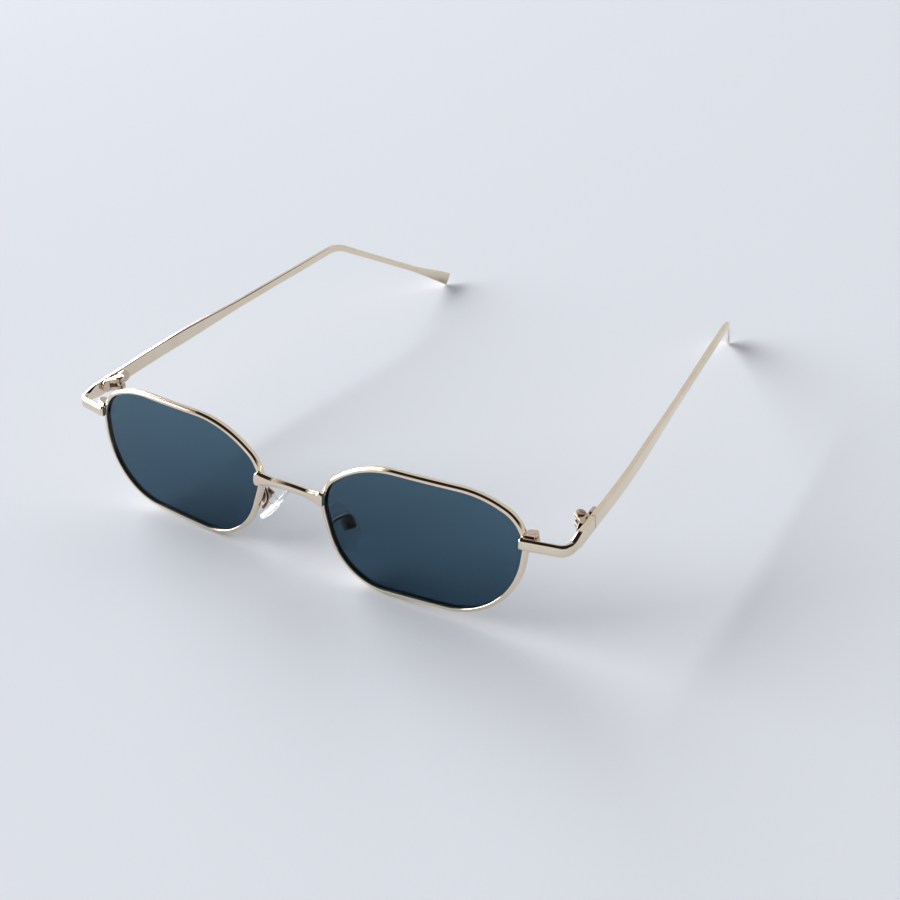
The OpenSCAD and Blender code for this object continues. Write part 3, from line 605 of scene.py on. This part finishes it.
def dress_cad(node, name, bevel_mm):
    """A copy of a small CAD node with rounded edges."""
    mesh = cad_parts[node].data.copy()
    mesh.name = name
    tidy = bmesh.new()
    tidy.from_mesh(mesh)
    bmesh.ops.remove_doubles(tidy, verts=tidy.verts, dist=SAME_POINT_M)
    flat = math.radians(SAME_PLANE_ANGLE)
    bmesh.ops.dissolve_limit(tidy, angle_limit=flat, verts=tidy.verts, edges=tidy.edges)
    tidy.to_mesh(mesh)
    tidy.free()
    mesh.polygons.foreach_set("use_smooth", [True] * len(mesh.polygons))
    piece = bpy.data.objects.new(name, mesh)
    bpy.context.scene.collection.objects.link(piece)
    bevel = piece.modifiers.new("rounded_edges", "BEVEL")
    bevel.width = bevel_mm * MM
    bevel.segments = BEVEL_SEGMENTS
    bevel.limit_method = "ANGLE"
    bevel.angle_limit = math.radians(BEVEL_ANGLE)
    bevel.harden_normals = False
    add_weighted_normals(piece)
    return piece


# Materials: every one has a colour and a roughness that vary, and a fine bump
LENS_IOR, LENS_GLOSS = 1.33, (0.15, 0.15, 0.15, 1)
# Lens tint, darkest at the lower edge where painted shade deepens it, palest at the top
LENS_SHADED_LOW, LENS_HIGH = (0.031, 0.074, 0.116), (0.075, 0.140, 0.192)
# Scale that takes the painted shade's gradient texture from 0 at the lens's lower edge to 1 at its
# top
LENS_SHADE_GRADIENT_SCALE = (1, 1, 33)
EDGE_DEEP, EDGE_PALE = (0.003, 0.004, 0.005), (0.006, 0.008, 0.010)
PAD_IOR, PAD_COAT, PAD_COAT_ROUGHNESS = 1.08, 0.7, 0.12
PAD_DEEP, PAD_PALE = (0.97, 0.98, 0.99), (1.0, 1.0, 1.0)
NO_STRETCH, MARKS_STRETCH = (1, 1, 1), (1, 0.35, 1.6)


def node_tree(name):
    material = bpy.data.materials.new(name)
    material.use_nodes = True
    tree = material.node_tree
    shader = tree.nodes["Principled BSDF"]
    coords = tree.nodes.new("ShaderNodeTexCoord")
    return material, tree, shader, coords


def add_noise(tree, coords, scale, detail=3.0, stretch=NO_STRETCH):
    """A noise over the object, scale being its number of blobs to a metre."""
    mapping = tree.nodes.new("ShaderNodeMapping")
    mapping.inputs["Scale"].default_value = stretch
    noise = tree.nodes.new("ShaderNodeTexNoise")
    noise.inputs["Scale"].default_value = scale
    noise.inputs["Detail"].default_value = detail
    tree.links.new(coords.outputs["Object"], mapping.inputs["Vector"])
    tree.links.new(mapping.outputs["Vector"], noise.inputs["Vector"])
    return noise


def ramp(tree, source, low, high, socket, low_at=0.35, high_at=0.65):
    """Drives a socket between two values or colours from a noise or gradient."""
    node = tree.nodes.new("ShaderNodeValToRGB")
    first, last = node.color_ramp.elements
    first.position, last.position = low_at, high_at
    first.color = (*low, 1) if isinstance(low, tuple) else (low, low, low, 1)
    last.color = (*high, 1) if isinstance(high, tuple) else (high, high, high, 1)
    tree.links.new(source.outputs["Fac"], node.inputs["Fac"])
    tree.links.new(node.outputs["Color"], socket)


def add_bump(tree, shader, source, strength, distance_mm):
    bump = tree.nodes.new("ShaderNodeBump")
    bump.inputs["Strength"].default_value = strength
    bump.inputs["Distance"].default_value = distance_mm * MM
    tree.links.new(source.outputs["Fac"], bump.inputs["Height"])
    tree.links.new(bump.outputs["Normal"], shader.inputs["Normal"])


def metal(name, pale, deep, smooth, rough, grain_mm):
    """Polished plated metal: colour drifts slowly, with fine polishing marks."""
    material, tree, shader, coords = node_tree(name)
    drift = add_noise(tree, coords, scale=90)
    wear = add_noise(tree, coords, scale=700, detail=5)
    marks = add_noise(tree, coords, scale=1 / (grain_mm * MM), detail=4, stretch=MARKS_STRETCH)
    shader.inputs["Metallic"].default_value = 1.0
    ramp(tree, drift, deep, pale, shader.inputs["Base Color"])
    ramp(tree, wear, smooth, rough, shader.inputs["Roughness"])
    add_bump(tree, shader, marks, strength=0.12, distance_mm=0.01)
    return material


def tinted_lens():
    """Grey-blue tinted see-through lens, with painted shade making it darker toward its lower edge.
    """
    material, tree, shader, coords = node_tree("tinted_lens")
    haze = add_noise(tree, coords, scale=160, detail=6)
    waves = add_noise(tree, coords, scale=60, detail=2)
    upward = tree.nodes.new("ShaderNodeMapping")
    upward.inputs["Rotation"].default_value = (0, math.radians(90), 0)
    upward.inputs["Scale"].default_value = LENS_SHADE_GRADIENT_SCALE
    height = tree.nodes.new("ShaderNodeTexGradient")
    tree.links.new(coords.outputs["Object"], upward.inputs["Vector"])
    tree.links.new(upward.outputs["Vector"], height.inputs["Vector"])
    shader.inputs["IOR"].default_value = LENS_IOR
    shader.inputs["Specular Tint"].default_value = LENS_GLOSS
    shader.inputs["Transmission Weight"].default_value = 1.0
    # Painted shade: the tint deepens toward the lens's lower edge
    ramp(tree, height, LENS_SHADED_LOW, LENS_HIGH, shader.inputs["Base Color"], low_at=0.0, high_at=1.0)
    ramp(tree, haze, 0.0, 0.03, shader.inputs["Roughness"], low_at=0.45, high_at=0.8)
    add_bump(tree, shader, waves, strength=0.02, distance_mm=0.05)
    return material


def lens_edge_and_painted_shade():
    """The lens's ground edge, which lets no light through; its near black is the dark edge of the
    tinted glass and painted shade where the lens meets the rim.
    """
    material, tree, shader, coords = node_tree("lens_edge_and_painted_shade")
    stain = add_noise(tree, coords, scale=900)
    polish = add_noise(tree, coords, scale=1500, detail=4)
    grinding = add_noise(tree, coords, scale=2500, detail=3)
    ramp(tree, stain, EDGE_DEEP, EDGE_PALE, shader.inputs["Base Color"])
    ramp(tree, polish, 0.35, 0.55, shader.inputs["Roughness"])
    add_bump(tree, shader, grinding, strength=0.1, distance_mm=0.01)
    return material


def clear_pad():
    """Clear soft plastic, a little cloudy in places."""
    material, tree, shader, coords = node_tree("clear_pad")
    cloud = add_noise(tree, coords, scale=150)
    tint = add_noise(tree, coords, scale=200)
    wear = add_noise(tree, coords, scale=500, detail=4)
    dents = add_noise(tree, coords, scale=400, detail=3)
    shader.inputs["IOR"].default_value = PAD_IOR
    shader.inputs["Coat Weight"].default_value = PAD_COAT
    shader.inputs["Coat Roughness"].default_value = PAD_COAT_ROUGHNESS
    ramp(tree, cloud, 0.93, 0.98, shader.inputs["Transmission Weight"])
    ramp(tree, tint, PAD_DEEP, PAD_PALE, shader.inputs["Base Color"])
    ramp(tree, wear, 0.10, 0.20, shader.inputs["Roughness"])
    add_bump(tree, shader, dents, strength=0.05, distance_mm=0.02)
    return material


# Palest and deepest colour, least and most roughness, and the grain's size in millimetres
FRAME_METAL = metal("frame_metal", (0.84, 0.735, 0.59), (0.80, 0.685, 0.54), 0.05, 0.09, 0.5)
FITTINGS_METAL = metal("fittings_metal", (0.70, 0.57, 0.46), (0.58, 0.46, 0.36), 0.04, 0.09, 0.3)
SCREW_METAL = metal("screw_metal", (0.56, 0.42, 0.34), (0.44, 0.32, 0.25), 0.08, 0.16, 0.2)
# The pad's arm and box: the fittings' metal made darker, as painted shade
PAD_SHADED_METAL = metal("pad_shaded_metal", (0.42, 0.29, 0.22), (0.30, 0.20, 0.15), 0.05, 0.10, 0.3)
# The materials of the record's slots; the pad's fittings are darker than the others as painted
# shade, and the lens's edge is darker than its faces, partly as painted shade where it meets the
# rim
MATERIALS = {
    "frame_metal": FRAME_METAL,
    "fittings": FITTINGS_METAL,
    "screws": SCREW_METAL,
    "lens": tinted_lens(),
    "nose_pad": clear_pad(),
}
PAD_FITTINGS = ("pad_arm", "pad_box")
LENS_EDGE = lens_edge_and_painted_shade()


def darken_lens_edge(piece):
    """Gives the bands between the lens's edge rings, margins and bevel, the dark edge with its
    painted shade.
    """
    piece.data.materials.append(LENS_EDGE)
    rings = 2 * (LENS_RINGS - 1) + len(LENS_EDGE_RINGS)
    ring_size = (len(piece.data.vertices) - 2) // rings
    first = (LENS_RINGS - 1) * ring_size
    last = first + (len(LENS_EDGE_RINGS) - 1) * ring_size
    for face in piece.data.polygons[first:last]:
        face.material_index = 1


def finish_piece(piece, body, node, slot):
    """Gives a piece its material, and has it ride a body in place of a CAD node."""
    material = PAD_SHADED_METAL if node.startswith(PAD_FITTINGS) else MATERIALS[slot]
    piece.data.materials.clear()
    piece.data.materials.append(material)
    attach(piece, body)
    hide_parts(node)


# Camera at the photograph's viewing angle; its offset is where the front's own origin lies along
# its right, down and forward
CAMERA_AZ, CAMERA_EL, CAMERA_ROLL = 33.644, 31.958, -3.582
CAMERA_OFFSET = vec(-35.916, 25.095, 278.743)
FOCAL_PX, FRAME_PX, SENSOR_MM, CLIP_START_M = 1182.68, 900, 36, 0.01


def add_camera():
    back = vec(sin(CAMERA_AZ) * cos(CAMERA_EL), -cos(CAMERA_AZ) * cos(CAMERA_EL), sin(CAMERA_EL))
    right = vec(cos(CAMERA_AZ), sin(CAMERA_AZ), 0)
    level = np.array([right, -np.cross(back, right), -back])
    c, s = cos(CAMERA_ROLL), sin(CAMERA_ROLL)
    right_down_forward = np.array([[c, -s, 0], [s, c, 0], [0, 0, 1]]) @ level
    centre = -right_down_forward.T @ CAMERA_OFFSET + vec(0, SHIFT[1], 0)
    right, down, forward = right_down_forward
    axes = np.array([right, -down, -forward]).T
    matrix = Matrix.Identity(4)
    for row in range(3):
        for column in range(3):
            matrix[row][column] = axes[row][column]
        matrix[row][3] = centre[row] * MM
    data = bpy.data.cameras.new("camera")
    data.sensor_width = SENSOR_MM
    data.lens = FOCAL_PX / FRAME_PX * SENSOR_MM
    data.clip_start = CLIP_START_M
    camera = bpy.data.objects.new("camera", data)
    camera.matrix_world = matrix
    bpy.context.scene.collection.objects.link(camera)
    bpy.context.scene.camera = camera


add_camera()

# Pieces
rim = loft_parts(RIM_RINGS)
lens_shape, lens_first, lens_last = lens_rings()
lens = loft_parts(lens_shape, poles=(lens_first, lens_last))
end_piece = loft_parts(end_rings())
temple = loft_parts(TEMPLE_RINGS)
arm = loft_parts(arm_rings())
pad_shape, pad_first, pad_last = pad_rings()
pad = joined(loft_parts(pad_shape, poles=(pad_first, pad_last)), loft_parts(post_rings()))

# Small CAD nodes with their slots and the radii of their rounded edges
SMALL_PARTS = [
    ("upper_lock", "fittings", 0.14),
    ("lower_lock", "fittings", 0.14),
    ("lock_screw", "screws", 0.06),
    ("front_leaf", "fittings", 0.08),
    ("hinge_screw", "screws", 0.06),
    ("pad_box", "fittings", 0.1),
    ("pad_screw", "screws", 0.05),
]
TEMPLE_LEAF_BEVEL = 0.08

for hand in ("left", "right"):
    mirrored = hand == "left"
    # Node, points and faces, body, slot, and the angle from which an edge stays sharp
    smooth = [
        ("rim", rim, "front", "frame_metal", 40),
        ("lens", lens, "front", "lens", 25),
        ("end_piece", end_piece, "front", "frame_metal", 40),
        ("temple", temple, f"temple_{hand}", "frame_metal", 40),
        ("pad_arm", arm, "front", "fittings", 40),
        ("nose_pad", pad, f"nose_pad_{hand}", "nose_pad", 50),
    ]
    for node, (points, faces), body, slot, sharp in smooth:
        piece = make_piece(f"smooth_{node}_{hand}", points, faces, mirrored, sharp)
        if slot == "frame_metal":
            add_weighted_normals(piece)
        finish_piece(piece, body, f"{node}_{hand}", slot)
        if slot == "lens":
            darken_lens_edge(piece)
    for node, slot, bevel in SMALL_PARTS:
        piece = dress_cad(f"{node}_{hand}", f"rounded_{node}_{hand}", bevel)
        finish_piece(piece, "front", f"{node}_{hand}", slot)
    piece = dress_cad(f"temple_leaf_{hand}", f"rounded_temple_leaf_{hand}", TEMPLE_LEAF_BEVEL)
    finish_piece(piece, f"temple_{hand}", f"temple_leaf_{hand}", "fittings")

bridge_points, bridge_faces = loft_parts(bridge_rings())
bridge = make_piece("smooth_bridge", bridge_points, bridge_faces, mirrored=False, sharp_angle=40)
add_weighted_normals(bridge)
finish_piece(bridge, "front", "bridge", "frame_metal")


# Floor: it lies a little below the part, so that nothing lies in one plane with it
FLOOR_REACH_M, FLOOR_DROP_M = 2.9, 0.00002
FLOOR_COLOR = (0.75, 0.785, 0.85, 1)


def add_floor():
    mesh = bpy.data.meshes.new("floor")
    r = FLOOR_REACH_M
    mesh.from_pydata([(-r, -r, 0), (r, -r, 0), (r, r, 0), (-r, r, 0)], [], [(0, 1, 2, 3)])
    floor = bpy.data.objects.new("floor", mesh)
    bpy.context.scene.collection.objects.link(floor)
    material, tree, shader, coords = node_tree("floor")
    shader.inputs["Base Color"].default_value = FLOOR_COLOR
    shader.inputs["Roughness"].default_value = 1.0
    shader.inputs["Specular IOR Level"].default_value = 0.0
    grain = add_noise(tree, coords, scale=1400, detail=2)
    add_bump(tree, shader, grain, strength=0.25, distance_mm=0.08)
    mesh.materials.append(material)
    floor.location.z = -FLOOR_DROP_M


add_floor()


# Light: a broad window on the left, low enough to leave the overhead direction dark
WINDOW_CENTRE_M, WINDOW_WIDTH_M, WINDOW_HEIGHT_M = (-8.0, -0.3, 3.6), 14.0, 6.8
WINDOW_POWER_W, WINDOW_COLOR = 2330.0, (1.0, 1.0, 1.0)
# Rows of its rotation: it faces +X, and its height runs along Z
WINDOW_ROWS = ((0, 0, -1), (-1, 0, 0), (0, 1, 0))


def add_window():
    data = bpy.data.lights.new("window", "AREA")
    data.shape = "RECTANGLE"
    data.size = WINDOW_WIDTH_M
    data.size_y = WINDOW_HEIGHT_M
    data.energy = WINDOW_POWER_W
    data.color = WINDOW_COLOR
    light = bpy.data.objects.new("window", data)
    matrix = Matrix.Identity(4)
    for row, axes in enumerate(WINDOW_ROWS):
        for column in range(3):
            matrix[row][column] = axes[column]
        matrix[row][3] = WINDOW_CENTRE_M[row]
    light.matrix_world = matrix
    bpy.context.scene.collection.objects.link(light)


add_window()


# The room's brightness along each part of a direction, from -1 at 0 to +1 at 1: the brightest
# of the three counts, so it is dark only overhead, inside all three dark stretches
ROOM_LEFT, ROOM_FRONT, ROOM_REST = (0.82, 0.81, 0.80), (0.8, 0.8, 0.8), (0.70, 0.69, 0.675)
ROOM_DARK = (0.02, 0.014, 0.012)
ROOM_X = [(0.17, ROOM_LEFT), (0.21, ROOM_DARK), (0.90, ROOM_DARK), (0.96, ROOM_REST)]
ROOM_Y = [(0.05, ROOM_FRONT), (0.08, ROOM_DARK), (0.78, ROOM_DARK), (0.82, ROOM_REST)]
ROOM_Z = [(0.63, ROOM_REST), (0.68, ROOM_DARK)]


def add_world():
    """A bright room, whose dark patch overhead draws the dark lines along rounded top edges."""
    world = bpy.data.worlds.new("studio")
    world.use_nodes = True
    bpy.context.scene.world = world
    tree = world.node_tree
    coords = tree.nodes.new("ShaderNodeTexCoord")
    to_share = tree.nodes.new("ShaderNodeMapping")
    for name in ("Location", "Scale"):
        to_share.inputs[name].default_value = (0.5, 0.5, 0.5)
    split = tree.nodes.new("ShaderNodeSeparateXYZ")
    tree.links.new(coords.outputs["Generated"], to_share.inputs["Vector"])
    tree.links.new(to_share.outputs["Vector"], split.inputs["Vector"])
    room = None
    for axis, stops in (("X", ROOM_X), ("Y", ROOM_Y), ("Z", ROOM_Z)):
        band = tree.nodes.new("ShaderNodeValToRGB")
        elements = band.color_ramp.elements
        while len(elements) < len(stops):
            elements.new(0.5)
        for element, (position, color) in zip(elements, stops):
            element.position = position
            element.color = (*color, 1)
        tree.links.new(split.outputs[axis], band.inputs["Fac"])
        if room is None:
            room = band.outputs["Color"]
            continue
        lighter = tree.nodes.new("ShaderNodeMix")
        lighter.data_type = "RGBA"
        lighter.blend_type = "LIGHTEN"
        lighter.inputs["Factor"].default_value = 1.0
        tree.links.new(room, lighter.inputs["A"])
        tree.links.new(band.outputs["Color"], lighter.inputs["B"])
        room = lighter.outputs["Result"]
    tree.links.new(room, tree.nodes["Background"].inputs["Color"])
    tree.nodes["Background"].inputs["Strength"].default_value = 1.0


add_world()
bpy.context.scene.view_settings.view_transform = "Standard"
